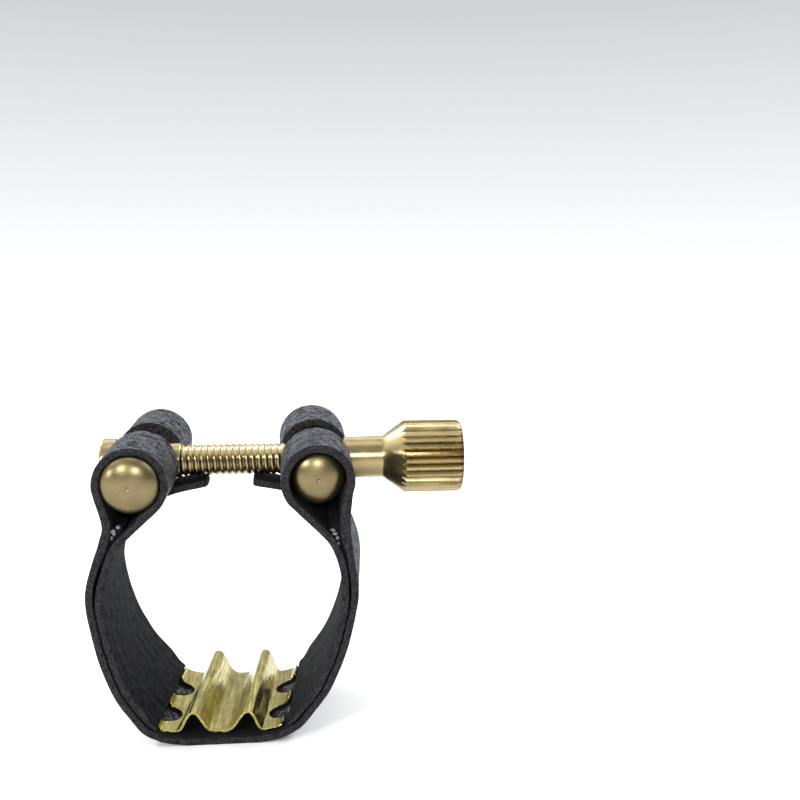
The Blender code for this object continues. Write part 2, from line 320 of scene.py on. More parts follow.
def mesh_object(name, verts, faces, mat, angle=SMOOTH_ANGLE):
    mesh = new_mesh(name, verts, faces)
    face_outwards(mesh)
    obj = added(name, mesh)
    if mat:
        mesh.materials.append(mat)
    shade(mesh, angle)
    return obj


def apply_modifiers(obj):
    bpy.context.view_layer.update()
    graph = bpy.context.evaluated_depsgraph_get()
    final = obj.evaluated_get(graph)
    mesh = bpy.data.meshes.new_from_object(final, preserve_all_data_layers=True, depsgraph=graph)
    obj.modifiers.clear()
    obj.data = mesh


def combined(obj, operation, other):
    """The object after a Boolean with another one, which is used up."""
    mod = obj.modifiers.new(operation, "BOOLEAN")
    mod.operation = operation
    mod.object = other
    apply_modifiers(obj)
    bpy.data.objects.remove(other, do_unlink=True)
    shade(obj.data, SMOOTH_ANGLE)
    return obj


def bevelled(obj, width):
    """The object with the edges rounded whose bevel weight is set."""
    mod = obj.modifiers.new("Edges", "BEVEL")
    mod.limit_method = "WEIGHT"
    mod.width = width * MM
    mod.segments = 2
    apply_modifiers(obj)
    shade(obj.data, BEVEL_ANGLE)
    return obj


def on_screw_axis(obj):
    """Lays a piece drawn along Z on the screw's axis."""
    obj.location = (0, 0, BARREL_Z * MM)
    obj.rotation_euler = (0, pi / 2, 0)
    return obj


def shell(name, cells, front, back, square_keys, materials, strip=None):
    """A closed skin between two sheets of the same grid.

    cells are quads of keys; front and back give each key its point, and strip its place along, across and
    through the leather. Rim edges get a bevel weight, except where both keys are in square_keys. Material
    slots: front sheet, back sheet, rim.
    """
    keys = sorted({k for cell in cells for k in cell})
    index = {k: i for i, k in enumerate(keys)}
    count = len(keys)
    verts = [front[k] for k in keys] + [back[k] for k in keys]
    faces, slots, seen = [], [], {}
    for cell in cells:
        ids = [index[k] for k in cell]
        faces.append(ids)
        slots.append(0)
        faces.append([i + count for i in reversed(ids)])
        slots.append(1)
        for a, b in zip(ids, ids[1:] + ids[:1]):
            seen.setdefault(frozenset((a, b)), []).append((a, b))
    rim = [pair[0] for pair in seen.values() if len(pair) == 1]
    for a, b in rim:
        faces.append([b, a, a + count, b + count])
        slots.append(2)
    mesh = new_mesh(name, verts, faces)
    mesh.polygons.foreach_set("material_index", slots)
    plain = {index[k] for k in square_keys}
    soft = {frozenset(p) for p in rim if not (p[0] in plain and p[1] in plain)}
    soft |= {frozenset((a + count, b + count)) for a, b in soft}
    weight = mesh.attributes.new("bevel_weight_edge", "FLOAT", "EDGE")
    for edge in mesh.edges:
        weight.data[edge.index].value = 1.0 if frozenset(edge.vertices) in soft else 0.0
    if strip:
        attribute = mesh.attributes.new("strip", "FLOAT_VECTOR", "POINT")
        for i, k in enumerate(keys):
            s, y, depth = strip[k]
            attribute.data[i].vector = (s, y, 0.0)
            attribute.data[i + count].vector = (s, y, depth)
    face_outwards(mesh)
    for mat in materials:
        mesh.materials.append(mat)
    return added(name, mesh)


def rings_object(name, rings, mat, loop=False):
    """A surface through rings of equal size; a ring of one point is a pole. The axis is the object's Z."""
    verts, starts = [], []
    for ring in rings:
        starts.append(len(verts))
        verts += [Vector(p) * MM for p in ring]
    faces = []
    pairs = list(zip(range(len(rings)), range(1, len(rings))))
    if loop:
        pairs.append((len(rings) - 1, 0))
    for a, b in pairs:
        low, high = starts[a], starts[b]
        n = max(len(rings[a]), len(rings[b]))
        for j in range(n):
            k = (j + 1) % n
            if len(rings[a]) == 1:
                faces.append((low, high + j, high + k))
            elif len(rings[b]) == 1:
                faces.append((low + j, high, low + k))
            else:
                faces.append((low + j, low + k, high + k, high + j))
    return mesh_object(name, verts, faces, mat)


def circle(radius, height):
    """A ring round Z; one point where the radius is 0."""
    if radius == 0:
        return [(0, 0, height)]
    angles = [2 * pi * j / TURN for j in range(TURN)]
    return [(radius * cos(a), radius * sin(a), height) for a in angles]


# ---------------------------------------------------------------- leather strap

def strap_path(bulge, neck, lining_top):
    """Grain face of half the strap: underside, wall, loop, lining, down to its cut end on the plate."""
    wall = [Vector(p) for p in LOWER_WALL + bulge]
    reach = 2 * LEATHER + LAYER_GAP
    inner = [p + reach * n for p, n in zip(wall, normals(wall))][2:-1]
    ring = arc((BARREL_X, BARREL_Z), LOOP_R, *LOOP_ANGLES, LOOP_STEPS)
    back = [*reversed(lining_top), *reversed(inner), *reversed(LINING_FOOT)]
    points = [*UNDERSIDE[1:], *LOWER_WALL, *bulge, *neck, *ring, *back]
    return resample([Vector(UNDERSIDE[0])] + smooth_path(points, CURVE_STEPS), ROW_STEP)


def slot_half(p):
    """Half width of the slot beside a point of the loop."""
    if p.x > BARREL_X and p.y < SLOT_ROUND_TOP:
        return max(sqrt(max(SLOT_KEYHOLE ** 2 - (p.y - BARREL_Z) ** 2, 0.0)), SLOT_MOUTH_HALF)
    return SLOT_HALF


def settle(side, p, y):
    """The left loop's rear half is drawn in a little tighter than its front half."""
    if side > 0 or y < 0:
        return p
    share = ease((p.y - 26.0) / 3.0) * ease(y / 4.0)
    centre = Vector((BARREL_X, BARREL_Z))
    return centre + (p - centre) * (1 - 0.055 * share) + Vector((-0.18 * share, 0))


def swell(side, p, y):
    """How thick the outer layer is here, in place of gaps and bunched leather.

    Both necks are fuller, the right one more. The left loop is thicker behind its front edge, and its rear
    half starts with a lip beside the slot.
    """
    if side < 0:
        snug = ease((p.y - 30.0) / 3.0)
        full = ease((p.y - 23.0) / 2.5) * ease((31.0 - p.y) / 2.5)
        lip = 0.42 * ease((3.2 - y) / 0.9) * ease(y)
        return LEATHER + 0.2 * full + snug * (0.14 * ease((y + 8.5) / 3.0) - 0.1 * ease(y / 3.0) + lip)
    if p.x < BARREL_X:
        return LEATHER + 0.1 * ease((p.y - 30) / 3)
    return LEATHER + 0.35 * ease((p.y - 24.2) / 2.5) * ease((33.0 - p.y) / 3.5) + 0.1 * ease((p.y - 30) / 3)


def strap_half(side, bulge, neck, lining_top, materials):
    """One half of the strap as a grid of rows along its path and columns across it, with the tongue."""
    path = strap_path(bulge, neck, lining_top)
    left = normals(path)
    last = len(path) - 1
    first_slot = next(i for i, p in enumerate(path) if p.y >= SLOT_END_Z)
    turn = min(range(first_slot, last), key=lambda i: path[i].x + (100 if path[i].y < BARREL_Z else 0))
    end_slot = next(i for i in range(turn, last) if path[i].y < BARREL_Z and path[i].x >= SLOT_INNER_X)
    last_loop = next(i for i in range(end_slot, last) if path[i].y < LOOP_LOW_Z)
    columns = 2 * EAR_COLUMNS + SLOT_COLUMNS
    front, back, strip, cells = {}, {}, {}, []

    def place(key, p, normal, y, s, thickness):
        wave = 0.05 * grainy(side * s, y, 0, 5.0) + 0.02 * grainy(side * s, y, 3, 1.3)
        fade = ease(s / 6)
        outer = settle(side, p - normal * wave * fade, y)
        inner = settle(side, p + normal * (thickness + 0.03 * grainy(side * s, y, 9, 0.9) * fade), y)
        front[key] = warp(side * outer.x, y, outer.y)
        back[key] = warp(side * inner.x, y, inner.y)
        strip[key] = (side * s, y, thickness)

    def width(i):
        if first_slot <= i < end_slot:
            return slot_half(path[i])
        if i < first_slot:
            return SLOT_HALF + (slot_half(path[first_slot]) - SLOT_HALF) * ease(1 - (first_slot - i) / 7)
        return SLOT_HALF

    def across(i, j, s):
        half = width(i)
        edge = BAND_HALF + 0.05 * grainy(side * s, 0, 20, 1.1) + 0.03 * grainy(side * s, 5, 20, 4.0)
        if j <= EAR_COLUMNS:
            return -edge + (edge - half) * j / EAR_COLUMNS
        if j >= EAR_COLUMNS + SLOT_COLUMNS:
            return half + (edge - half) * (j - EAR_COLUMNS - SLOT_COLUMNS) / EAR_COLUMNS
        return -half + 2 * half * (j - EAR_COLUMNS) / SLOT_COLUMNS

    for i, (p, n) in enumerate(zip(path, left)):
        s = i * ROW_STEP
        skive = SKIVE_SHARE + (1 - SKIVE_SHARE) * ease((last - i) * ROW_STEP / SKIVE_LENGTH)
        for j in range(columns + 1):
            middle = EAR_COLUMNS < j < EAR_COLUMNS + SLOT_COLUMNS
            if middle and first_slot < i < end_slot:
                continue
            depth = across(i, j, s)
            thickness = swell(side, p, depth) if i < last_loop else LEATHER * skive
            place((0, i, j), p, n, depth, s, thickness)
    for i in range(last):
        for j in range(columns):
            if EAR_COLUMNS <= j < EAR_COLUMNS + SLOT_COLUMNS and first_slot <= i < end_slot:
                continue
            cells.append(((0, i, j), (0, i + 1, j), (0, i + 1, j + 1), (0, i, j + 1)))

    # The tongue grows out of the row at the slot's inner end
    root = path[end_slot]
    flap = resample(smooth_path([root, *TONGUE], CURVE_STEPS), ROW_STEP)
    over = [-n for n in normals(flap)]
    for k, (p, n) in enumerate(zip(flap[1:], over[1:]), 1):
        half = TONGUE_HALF + (SLOT_HALF - TONGUE_HALF) * (1 - ease(k / 4))
        for j in range(EAR_COLUMNS, EAR_COLUMNS + SLOT_COLUMNS + 1):
            t = 2 * (j - EAR_COLUMNS) / SLOT_COLUMNS - 1
            tip = TONGUE_CORNER * abs(t) ** 6 * ease((k - len(flap) + 5) / 4)
            place((1, k, j), p + Vector((tip, 0)), n, half * t, TONGUE_START + k * ROW_STEP, LEATHER)
    for k in range(len(flap) - 1):
        for j in range(EAR_COLUMNS, EAR_COLUMNS + SLOT_COLUMNS):
            near = [(0, end_slot, j), (0, end_slot, j + 1)] if k == 0 else [(1, k, j), (1, k, j + 1)]
            cells.append((near[0], (1, k + 1, j), (1, k + 1, j + 1), near[1]))

    centre = {(0, 0, j) for j in range(columns + 1)}
    obj = shell("strap_leather_" + SIDE[side], cells, front, back, centre, materials, strip)
    return bevelled(obj, EDGE_ROUNDING)


# ---------------------------------------------------------------- pressure plate

def notch_half():
    """Half the width of a notch at the tabs' tips."""
    return sqrt(NOTCH_R ** 2 - (NOTCH_X - TAB_TIP) ** 2)


def tab_end(y):
    """How far the flange reaches at this depth: tabs with small round corners between round notches."""
    reach = TAB_TIP
    half = notch_half()
    for centre in NOTCH_CENTRES:
        off = abs(y - centre)
        if off < half:
            reach = min(reach, NOTCH_X - sqrt(NOTCH_R ** 2 - off ** 2))
        reach = min(reach, corner_reach(off - half))
    return min(reach, corner_reach(PLATE_HALF - abs(y)))


def corner_reach(edge):
    """The reach of a tab at this distance inside its side edge."""
    if not 0 <= edge < TAB_CORNER:
        return TAB_TIP
    return TAB_TIP - TAB_CORNER + sqrt(TAB_CORNER ** 2 - (TAB_CORNER - edge) ** 2)


def plate_depths():
    """Depths of the plate's columns, closer together where a notch or a corner is round."""
    marks = {-PLATE_HALF, PLATE_HALF}
    corner = [TAB_CORNER * (1 - cos(radians(a))) for a in (0, 25, 50, 70, 90)]
    marks |= {-PLATE_HALF + c for c in corner} | {PLATE_HALF - c for c in corner}
    half = notch_half()
    for centre in NOTCH_CENTRES:
        marks |= {centre + half * sin(radians(a)) for a in range(-84, 85, 12)}
        marks |= {centre + (half + c) for c in corner} | {centre - (half + c) for c in corner}
    depths = sorted(marks)
    filled = [depths[0]]
    for a, b in zip(depths, depths[1:]):
        if b - a < 0.02:
            continue
        parts = max(1, round((b - a) / 0.35))
        filled += [a + (b - a) * (k + 1) / parts for k in range(parts)]
    return filled


def plate(mat):
    """The corrugated sheet; its flanges end in tabs."""
    half = smooth_path(RIDGE, RIDGE_STEPS)
    flat = [p for p in half if p.x > FLANGE_X]
    ridge = [p for p in half if p.x <= FLANGE_X]
    depths = plate_depths()
    front, back, cells = {}, {}, []

    def flange_point(share, reach):
        """The point on the flange at this share of the way from its start to its reach."""
        x = FLANGE_X + (reach - FLANGE_X) * share
        for a, b in zip(half, half[1:]):
            if a.x <= x <= b.x and b.x > a.x:
                return a.lerp(b, (x - a.x) / (b.x - a.x))
        return half[-1].copy()

    for j, y in enumerate(depths):
        reach = tab_end(y)
        line = list(ridge)
        for k in range(len(flat)):
            line.append(flange_point((k + 1) / len(flat), reach))
        full = [Vector((-p.x, p.y)) for p in reversed(line[1:])] + line
        for i, (p, n) in enumerate(zip(full, normals(full))):
            for sheet, shift in ((front, SHEET / 2), (back, -SHEET / 2)):
                q = p + n * shift
                z = q.y + RIDGE_TAPER * y * max(q.y - SEAT, 0.0) - PLATE_TILT * q.x
                sheet[(i, j)] = warp(q.x, y, z) + Vector((PLATE_SHIFT + PLATE_TURN * y, 0, 0)) * MM
    for i in range(2 * len(half) - 2):
        for j in range(len(depths) - 1):
            cells.append(((i, j), (i + 1, j), (i + 1, j + 1), (i, j + 1)))
    obj = shell("pressure_plate_sheet", cells, front, back, set(), [mat])
    return bevelled(obj, SHEET_ROUNDING)


def fibre_bed(x):
    """A height inside the strap's leather at this distance from the middle."""
    return 0.6 + 0.11 * (x - 5.5) ** 2


def notch_fibres(side, mat):
    """Raised rough leather in the notches of one flange."""
    verts, faces = [], []
    steps = FIBRE_STEPS
    for centre in NOTCH_CENTRES:
        base = len(verts)
        for i in range(steps + 1):
            for j in range(steps + 1):
                u, v = 2 * i / steps - 1, 2 * j / steps - 1
                x = FIBRE_X + FIBRE_HALF_WIDTH * u
                y = centre + FIBRE_HALF_DEPTH * v
                dome = max(0.0, 1 - max(abs(u), abs(v)) ** 4)
                rough = 0.3 * grainy(x, y, side, 0.4) + 0.25 * abs(grainy(x * 2, y * 0.8, side, 0.3, 4))
                z = fibre_bed(x) + 0.05 + dome * (0.5 + rough)
                verts.append(warp(side * x, y, z))
        for i in range(steps):
            for j in range(steps):
                a = base + i * (steps + 1) + j
                faces.append((a, a + 1, a + steps + 2, a + steps + 1))
        under = len(verts)
        for u, v in ((-1, -1), (1, -1), (1, 1), (-1, 1)):
            x = FIBRE_X + FIBRE_HALF_WIDTH * u
            verts.append(warp(side * x, centre + FIBRE_HALF_DEPTH * v, fibre_bed(x) - 0.1))
        edges = [[base + i * (steps + 1) for i in range(steps + 1)],
                 [base + steps * (steps + 1) + j for j in range(steps + 1)],
                 [base + i * (steps + 1) + steps for i in range(steps, -1, -1)],
                 [base + j for j in range(steps, -1, -1)]]
        for k in range(4):
            faces.append([under + k, *edges[k], under + (k + 1) % 4])
        faces.append([under + 3, under + 2, under + 1, under])
    return mesh_object("notch_fibres_" + SIDE[side], verts, faces, mat, ROUGH_ANGLE)


def glue_fillet(side, wedge, mat):
    """Dried dark glue that fills the seam below a loop, a little behind the strap's edges."""
    verts, faces = [], []
    rows = FILLET_ROWS
    depths = [(BAND_HALF - 0.7) * (2 * j / rows - 1) for j in range(rows + 1)]
    for y in depths:
        for x, z in wedge:
            lump = 0.06 * grainy(x * 3, y, z * 3, 0.7, side)
            verts.append(warp(side * (x + lump), y, z + lump))
    size = len(wedge)
    for j in range(rows):
        for k in range(size):
            a, b = j * size + k, j * size + (k + 1) % size
            faces.append((a, b, b + size, a + size))
    faces.append(tuple(range(size)))
    faces.append(tuple(reversed(range(rows * size, (rows + 1) * size))))
    return mesh_object("glue_fillet_" + SIDE[side], verts, faces, mat, FILLET_ANGLE)


def glue_flecks(side, beads, mat):
    """Small pale beads of dried glue at the front of that seam."""
    bm = bmesh.new()
    for k, (x, z, wide, tall) in enumerate(beads):
        for v in bmesh.ops.create_icosphere(bm, subdivisions=3, radius=1.0)["verts"]:
            n = v.co.copy()
            n *= 1 + 0.6 * grainy(n.x + k * 7, n.y, n.z, 0.7)
            at = warp(side * x, -BAND_HALF + 0.3, z)
            v.co = at + Vector((n.x * wide, n.y * 0.35, n.z * tall)) * MM
    mesh = bpy.data.meshes.new("glue")
    bm.to_mesh(mesh)
    bm.free()
    mesh.materials.append(mat)
    mesh.shade_smooth()
    return added("glue_flecks_" + SIDE[side], mesh)


# ---------------------------------------------------------------- turned brass

def dome(radius, end, out):
    """Rings of a domed end with a small centre mark, from its middle outwards."""
    rings = [circle(0, end - 0.14 * out), circle(0.14, end - 0.10 * out), circle(0.26, end - 0.01 * out)]
    for i in range(2, DOME_STEPS + 1):
        a = pi / 2 * (1 - i / DOME_STEPS)
        rings.append(circle(radius * cos(a), end - out * DOME * (1 - sin(a))))
    return rings


def barrel(name, side, span, mat):
    """A domed pin across the band, in line with its loop, with a hole for the screw."""
    low, high = span
    head = HEAD_R if side < 0 else BARREL_R
    rings = dome(BARREL_R, high, 1)
    if side < 0:
        rings += [circle(BARREL_R, WAIST[1] + STEP), circle(WAIST_R, WAIST[1]),
                  circle(WAIST_R, WAIST[0]), circle(BARREL_R, WAIST[0] - STEP)]
    rings += [circle(BARREL_R, HEAD_END + 0.3), circle(head, HEAD_END)]
    rings += list(reversed(dome(head, low, -1)))
    obj = rings_object(name, rings, mat)
    axis = Vector((-side * TOE, 1, RISE))
    obj.location = Vector((side * BARREL_X + LEAN, 0, BARREL_Z)) * MM
    obj.rotation_euler = axis.to_track_quat("Z", "Y").to_euler()
    hole = rings_object("hole", [circle(0, -HOLE_REACH), circle(HOLE_R, -HOLE_REACH),
                                 circle(HOLE_R, HOLE_REACH), circle(0, HOLE_REACH)], None)
    hole.location = obj.location
    hole.rotation_euler = (0, pi / 2, 0)
    return combined(obj, "DIFFERENCE", hole)


def collar(mat):
    """Smooth boss of the threaded barrel, where the screw enters it."""
    bore = ROD_R + COLLAR_PLAY
    rings = [circle(bore, COLLAR_START), circle(COLLAR_R, COLLAR_START), circle(COLLAR_R, COLLAR_END - 0.12),
             circle(COLLAR_R - 0.1, COLLAR_END), circle(bore, COLLAR_END)]
    return on_screw_axis(rings_object("threaded_barrel_boss", rings, mat, loop=True))


def knurl_radius(share):
    """Radius of the knurled surface at this share of a tooth, from the bottom of its groove."""
    off = min(share, 1 - share)
    return KNOB_R - TOOTH * max(0.0, 1 - off / GROOVE_SHARE)


def knob(mat):
    """Shank, cone and knurled knob; the knurl runs out on the cone and over the rounded end."""
    spots = [(2 * pi * (tooth + share) / TEETH, knurl_radius(share))
             for tooth in range(TEETH) for share in TOOTH_SHARES]

    def plain(radius, x):
        return [(radius * cos(a), radius * sin(a), x) for a, _ in spots]

    cone = (KNURL_START - SHANK_END) / (KNOB_R - SHANK_R)
    run_out = [(r * cos(a), r * sin(a), SHANK_END + (r - SHANK_R) * cone) for a, r in spots]
    length = KNOB_END - KNURL_END
    rings = [[(0, 0, SHANK_START)], plain(SHANK_R - SHANK_EDGE, SHANK_START),
             plain(SHANK_R, SHANK_START + SHANK_EDGE), plain(SHANK_R, SHANK_END - 0.15),
             plain(SHANK_R + 0.04, SHANK_END + 0.1)]
    rings += [plain(r, SHANK_END + (r - SHANK_R) * cone) for r in (3.2, 3.8)]
    rings.append(run_out)
    for share in (0.0, 0.33, 0.66, 1.0):
        ring = []
        for a, r in spots:
            start = acos(1 - (KNOB_R - r) / CHAMFER)
            t = start + (pi / 2 - start) * share
            radius = KNOB_R - CHAMFER + CHAMFER * cos(t)
            ring.append((radius * cos(a), radius * sin(a), KNURL_END + length * sin(t)))
        rings.append(ring)
    rings += [plain(2.4, KNOB_END), plain(0.35, KNOB_END), [(0, 0, KNOB_END - 0.12)]]
    return rings_object("thumbscrew_turned", rings, mat)


def thread(mat):
    """Rod with a helical thread: the mesh rows follow the helix, and are cut square at both ends."""
    per = THREAD_STEPS
    shape = [(k / per, (0.5 - 0.5 * cos(2 * pi * k / per)) ** 0.8) for k in range(per)]
    end_x = SHANK_START + 1.0
    turns = int((end_x - TIP_X) / PITCH) + 3
    sides = ROD_SIDES
    verts, faces = [], []
    for k in range(turns * per):
        share, lift = shape[k % per]
        for j in range(sides):
            x = TIP_X - 1.5 * PITCH + (k // per + share + j / sides) * PITCH
            r = ROD_R - THREAD_DEPTH * (1 - lift)
            if x < THREAD_START:
                r = TIP_R
            x = min(max(x, TIP_X), end_x)
            if x >= end_x:
                r = ROD_R - THREAD_DEPTH
            a = 2 * pi * j / sides
            verts.append(Vector((r * cos(a), r * sin(a), x)) * MM)
    rows = turns * per
    for k in range(rows - 1):
        for j in range(sides):
            a = k * sides + j
            if j + 1 < sides:
                faces.append((a, a + 1, a + sides + 1, a + sides))
            elif k + per + 1 < rows:
                b = (k + per) * sides
                faces.append((a, b, b + sides, a + sides))
    mesh = new_mesh("thread", verts, faces)
    bm = bmesh.new()
    bm.from_mesh(mesh)
    bmesh.ops.remove_doubles(bm, verts=bm.verts, dist=0.000002)
    bmesh.ops.dissolve_degenerate(bm, edges=bm.edges, dist=0.000001)
    loose = [v for v in bm.verts if not v.link_faces]
    bmesh.ops.delete(bm, geom=loose, context="VERTS")
    bmesh.ops.holes_fill(bm, edges=[e for e in bm.edges if e.is_boundary])
    bmesh.ops.recalc_face_normals(bm, faces=bm.faces)
    bm.to_mesh(mesh)
    bm.free()
    mesh.materials.append(mat)
    return added("thread", mesh)


def thumbscrew(mat):
    """Knob and threaded rod in one piece."""
    return on_screw_axis(combined(knob(mat), "UNION", thread(mat)))


def end_stop(mat):
    """Ring with rounded edges on the screw's reduced tip."""
    low, high = TIP_X, TIP_X + STOP_LENGTH
    bore = TIP_R + STOP_PLAY
    rings = [circle(bore, high), circle(STOP_R - STOP_EDGE, high)]
    for i in range(1, 5):
        a = pi / 2 * i / 4
        rings.append(circle(STOP_R - STOP_EDGE + STOP_EDGE * sin(a), high - STOP_EDGE + STOP_EDGE * cos(a)))
    for i in range(5):
        a = pi / 2 * i / 4
        rings.append(circle(STOP_R - STOP_EDGE + STOP_EDGE * cos(a), low + STOP_EDGE - STOP_EDGE * sin(a)))
    rings.append(circle(bore, low))
    return on_screw_axis(rings_object("end_stop_ring", rings, mat, loop=True))


# ---------------------------------------------------------------- materials

class Graph:
    """Short way to build the nodes of a material or a world."""

    def __init__(self, owner, shader="Principled BSDF"):
        owner.use_nodes = True
        self.owner = owner
        self.tree = owner.node_tree
        self.shader = self.tree.nodes[shader]

    def add(self, kind, inputs=None, **settings):
        """A new shader node with its inputs set or linked."""
        item = self.tree.nodes.new("ShaderNode" + kind)
        for key, value in settings.items():
            setattr(item, key, value)
        for key, value in (inputs or {}).items():
            self.put(item.inputs[key], value)
        return item

    def put(self, socket, value):
        if isinstance(value, bpy.types.NodeSocket):
            self.tree.links.new(value, socket)
        else:
            socket.default_value = value

    def set(self, **values):
        """Sets or links the shader's own inputs."""
        for key, value in values.items():
            self.put(self.shader.inputs[key.replace("_", " ")], value)

    def maths(self, operation, a, b=0.0):
        return self.add("Math", {0: a, 1: b}, operation=operation).outputs[0]

    def scaled(self, vector, scale):
        return self.add("VectorMath", {0: vector, 1: scale}, operation="MULTIPLY").outputs[0]

    def millimetres(self, x=1.0, y=1.0, z=1.0):
        """The object's own coordinates in millimetres, times a stretch for each axis."""
        return self.scaled(self.add("TexCoord").outputs["Object"], (x / MM, y / MM, z / MM))

    def length(self, vector):
        return self.add("VectorMath", {0: vector}, operation="LENGTH").outputs["Value"]

    def axis(self, vector, name):
        return self.add("SeparateXYZ", {0: vector}).outputs[name]

    def noise(self, vector, scale, detail=3.0, roughness=0.55):
        inputs = {"Vector": vector, "Scale": scale, "Detail": detail, "Roughness": roughness}
        return self.add("TexNoise", inputs).outputs["Fac"]

    def ramp(self, value, low, high, to_low=0.0, to_high=1.0):
        """Maps low..high to to_low..to_high and stops at both ends."""
        inputs = {"Value": value, "From Min": low, "From Max": high, "To Min": to_low, "To Max": to_high}
        return self.add("MapRange", inputs).outputs["Result"]

    def mix(self, factor, a, b):
        item = self.add("Mix", data_type="RGBA")
        self.put(item.inputs["Factor"], factor)
        self.put(item.inputs["A"], (*a, 1.0) if isinstance(a, tuple) else a)
        self.put(item.inputs["B"], (*b, 1.0) if isinstance(b, tuple) else b)
        return item.outputs["Result"]

    def bump(self, height, distance, strength=1.0, below=None):
        inputs = {"Height": height, "Distance": distance * MM, "Strength": strength}
        if below:
            inputs["Normal"] = below
        return self.add("Bump", inputs).outputs["Normal"]


def material(name):
    return Graph(bpy.data.materials.new(name))


def strip_coordinates(graph):
    """Millimetres along the strap, across it and through it."""
    return graph.add("Attribute", attribute_name="strip").outputs["Vector"]


def leather_grain():
    """Coated grain side: fine pebbles, a few soft creases, glossy patches on the loops that are also painted
    lighter, a painted sheen.
    """
    g = material("leather_grain")
    at = strip_coordinates(g)
    wander = g.add("TexNoise", {"Vector": at, "Scale": 1.6, "Detail": 2.0}).outputs["Color"]
    bent = g.add("VectorMath", {0: at, 1: g.scaled(wander, (0.4, 0.4, 0.4))}, operation="ADD").outputs[0]
    cells = g.add("TexVoronoi", {"Vector": bent, "Scale": 2.6}, feature="DISTANCE_TO_EDGE")
    pebble = cells.outputs["Distance"]
    grit = g.noise(at, 3.4, 4.0, 0.75)
    broad = g.noise(at, 0.8, 3.0, 0.6)
    crease = g.noise(g.scaled(at, (1.0, 0.3, 1.0)), 0.5, 3.0, 0.6)
    height = g.maths("ADD", g.ramp(pebble, 0.0, 0.25, 0.0, 0.6), g.ramp(grit, 0.25, 0.75))
    along = g.maths("ABSOLUTE", g.axis(at, "X"))
    # where the leather is glossier, on the loops; through the colour below this is also a painted sheen
    loop_gloss_and_sheen = g.maths("MULTIPLY", g.ramp(along, 16.0, 44.0, 0.3, 1.0), g.ramp(along, 70.0, 58.0, 0.12, 1.0))
    streak = g.noise(g.scaled(at, (0.05, 1.0, 1.0)), 0.8, 3.0, 0.6)
    patches = g.ramp(g.maths("ADD", grit, g.maths("MULTIPLY", broad, 0.6)), 0.7, 0.95)
    gloss_and_painted_sheen = g.maths("MULTIPLY", patches, loop_gloss_and_sheen)
    tone = g.maths("ADD", g.ramp(streak, 0.42, 0.65, 0.0, 0.35), g.ramp(broad, 0.35, 0.7, 0.0, 0.3))
    # painted sheen: the glossy patches are also made lighter in colour
    tone = g.maths("ADD", tone, g.maths("MULTIPLY", gloss_and_painted_sheen, 0.35))
    g.set(Base_Color=g.mix(tone, *GRAIN),
          Roughness=g.ramp(gloss_and_painted_sheen, 0.0, 0.8, 0.82, 0.31),
          Normal=g.bump(height, 0.13, 1.0, g.bump(crease, 0.3, 1.0)),
          Specular_IOR_Level=g.ramp(gloss_and_painted_sheen, 0.0, 0.8, 0.04, 1.0))
    g.shader.inputs["Specular Tint"].default_value = GRAIN_SHEEN
    return g.owner


def leather_edge():
    """Cut edge: matte, fibrous, a little paler."""
    g = material("leather_edge")
    at = strip_coordinates(g)
    fibre = g.noise(g.scaled(at, (0.6, 1.0, 1.0)), 1.9, 5.0, 0.75)
    speck = g.noise(at, 4.2, 3.0, 0.7)
    height = g.maths("ADD", fibre, g.maths("MULTIPLY", speck, 0.5))
    tone = g.maths("ADD", g.ramp(fibre, 0.4, 0.65, 0.0, 0.6), g.ramp(speck, 0.5, 0.6, 0.0, 0.9))
    g.set(Base_Color=g.mix(tone, *CUT_EDGE),
          Roughness=g.ramp(speck, 0.3, 0.7, 0.6, 0.9), Normal=g.bump(height, 0.2))
    g.shader.inputs["Specular IOR Level"].default_value = 0.12
    return g.owner


def leather_flesh():
    """Back of the leather: dark, napped."""
    g = material("leather_flesh")
    at = strip_coordinates(g)
    nap = g.noise(at, 3.2, 6.0, 0.75)
    g.set(Base_Color=g.mix(g.ramp(nap, 0.35, 0.7), *FLESH),
          Roughness=0.95, Normal=g.bump(nap, 0.1))
    g.shader.inputs["Specular IOR Level"].default_value = 0.2
    return g.owner


def notch_leather():
    """Torn leather that shows between the tabs, with glossy flecks that are painted lighter, a painted
    glint.
    """
    g = material("notch_leather")
    at = g.millimetres(y=0.7)
    torn = g.noise(at, 1.6, 6.0, 0.75)
    glint_fleck = g.ramp(g.noise(at, 3.0, 3.0, 0.7), 0.52, 0.6)
    # painted glint: the flecks are lighter in colour as well as glossier
    g.set(Base_Color=g.mix(glint_fleck, *TORN_AND_GLINT),
          Roughness=g.ramp(glint_fleck, 0.0, 1.0, 0.6, 0.25), Normal=g.bump(torn, 0.5))
    return g.owner


